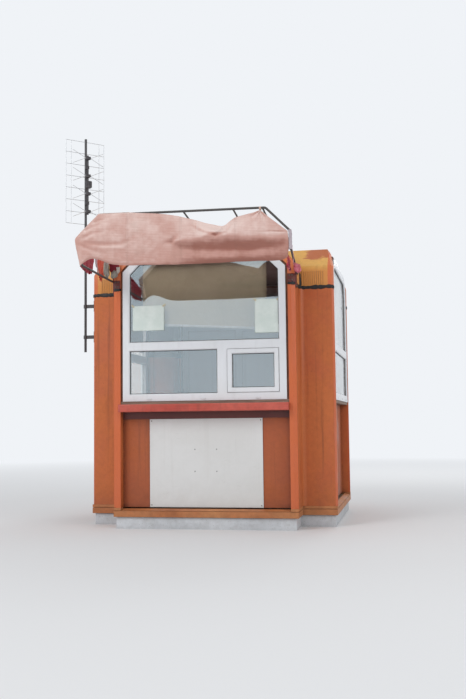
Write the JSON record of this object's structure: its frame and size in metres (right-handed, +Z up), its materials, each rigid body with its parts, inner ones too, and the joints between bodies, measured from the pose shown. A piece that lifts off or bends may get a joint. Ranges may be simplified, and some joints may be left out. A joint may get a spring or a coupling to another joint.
{
  "type": "street kiosk",
  "caption": "Moulded fibreglass street kiosk of crossed tunnel form, with a sales window and counter ledge in front, a door at the rear, a worn awning hoop and a roof aerial.",
  "frame": {"origin": "on the ground, under the middle of the kiosk body, in the plinth's underside", "axes": "+X to the right for someone facing the sales window, +Y from the sales window into the kiosk, +Z up"},
  "size_m": [2.659, 3.3977, 3.88],
  "materials": {
    "fibreglass_orange": "moulded fibreglass, orange gelcoat, weathered",
    "fibreglass_yellow": "moulded fibreglass roof, faded yellow over orange, peeling",
    "fibreglass_brown": "moulded fibreglass, orange brown",
    "plinth_concrete": "pale grey precast concrete, stained",
    "deck_board": "worn board floor",
    "seal_rubber": "black rubber joint strip",
    "window_plastic": "white window profile, satin",
    "window_glass": "clear glazing, a little dusty",
    "packer_wood": "dark brown packing wood",
    "ledge_wood": "red painted board, faded",
    "rail_wood": "dark maroon painted rail",
    "board_sheet": "white coated sheet, dusty",
    "blind_cloth": "beige roller blind cloth",
    "handle_metal": "satin door furniture",
    "awning_tube": "dark weathered tube",
    "bracket_metal": "dark maroon painted steel",
    "canopy_cloth": "faded pink red coated awning cloth",
    "flap_cloth": "deep red awning cloth, unfaded inner side",
    "mast_metal": "dark oxidised tube",
    "aerial_plastic": "dark plastic blocks",
    "aerial_wire": "thin bare rods"
  },
  "bodies": {
    "root": {"base_plinth": "plinth_concrete", "floor_tray": "fibreglass_orange", "floor_deck": "deck_board", "pillar_front_right": "fibreglass_orange", "pillar_rear_right": "fibreglass_orange", "pillar_rear_left": "fibreglass_orange", "pillar_front_left": "fibreglass_orange", "roof_seal": "seal_rubber", "roof_shell": "fibreglass_yellow", "front_window_frame": "window_plastic", "front_upper_glass": "window_glass", "front_lower_glass": "window_glass", "hatch_sash": "window_plastic", "hatch_glass": "window_glass", "right_window_frame": "window_plastic", "right_window_glass": "window_glass", "left_window_frame": "window_plastic", "left_window_glass": "window_glass", "window_packers": "packer_wood", "sill_strips": "packer_wood", "rear_packer": "packer_wood", "counter_ledge": "ledge_wood", "counter_rail": "rail_wood", "front_parapet": "fibreglass_brown", "right_parapet": "fibreglass_orange", "left_parapet": "fibreglass_orange", "front_board": "board_sheet", "blind_roller": "window_plastic", "window_blind": "blind_cloth", "rear_door_frame": "window_plastic", "rear_door_leaf": "window_plastic", "rear_upper_panel": "window_plastic", "rear_side_panel": "window_plastic", "door_handle": "handle_metal", "awning_hoop": "awning_tube", "awning_struts": "awning_tube", "awning_brackets": "bracket_metal", "canopy_cloth": "canopy_cloth", "canopy_left_flap": "flap_cloth", "canopy_right_flap": "flap_cloth", "aerial_mast": "mast_metal", "mast_clamps": "mast_metal", "aerial_boom": "aerial_plastic", "aerial_whiskers": "aerial_wire", "aerial_reflector": "aerial_wire"}
  },
  "joints": []
}
